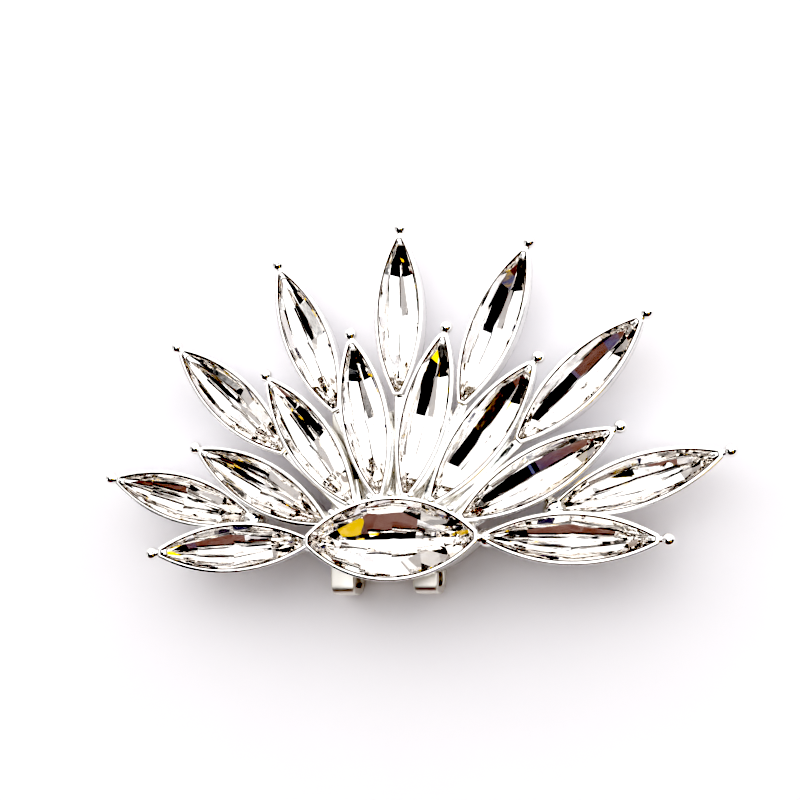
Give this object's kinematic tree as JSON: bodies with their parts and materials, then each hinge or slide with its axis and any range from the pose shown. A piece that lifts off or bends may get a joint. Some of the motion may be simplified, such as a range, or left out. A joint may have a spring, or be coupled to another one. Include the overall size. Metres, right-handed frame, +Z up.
{
  "type": "shoe clip",
  "caption": "Fan-shaped dress shoe clip: pointed oval clear stones in plated petal cups round a large front stone, on a hinged spring clip.",
  "frame": {"origin": "on the surface it lies on, below the middle of the bounding box", "axes": "+X across the fan to the right, +Y from the large front stone to the middle petal's tip, +Z up out of the stones' faces"},
  "size_m": [0.0624, 0.0357, 0.0093],
  "materials": {
    "silver_plate": "bright silver plating, polished",
    "crystal": "clear cut glass, foiled behind",
    "pin_steel": "plain drawn wire",
    "clip_plating": "plated spring steel, slightly dull"
  },
  "bodies": {
    "ornament": {"setting": "silver_plate", "outer_stone_1": "crystal", "outer_stone_2": "crystal", "outer_stone_3": "crystal", "outer_stone_4": "crystal", "outer_stone_5": "crystal", "outer_stone_6": "crystal", "outer_stone_7": "crystal", "outer_stone_8": "crystal", "outer_stone_9": "crystal", "inner_stone_1": "crystal", "inner_stone_2": "crystal", "inner_stone_3": "crystal", "inner_stone_4": "crystal", "inner_stone_5": "crystal", "inner_stone_6": "crystal", "centre_stone": "crystal", "hinge_pin": "pin_steel"},
    "lever": {"clip_lever": "clip_plating"}
  },
  "joints": [
    {"name": "clip_hinge", "type": "hinge", "parent": "ornament", "child": "lever", "pos_m": [-0.002, -0.01496, 0.0015], "axis": [-1, 0, 0], "range_deg": [0, 85]}
  ]
}
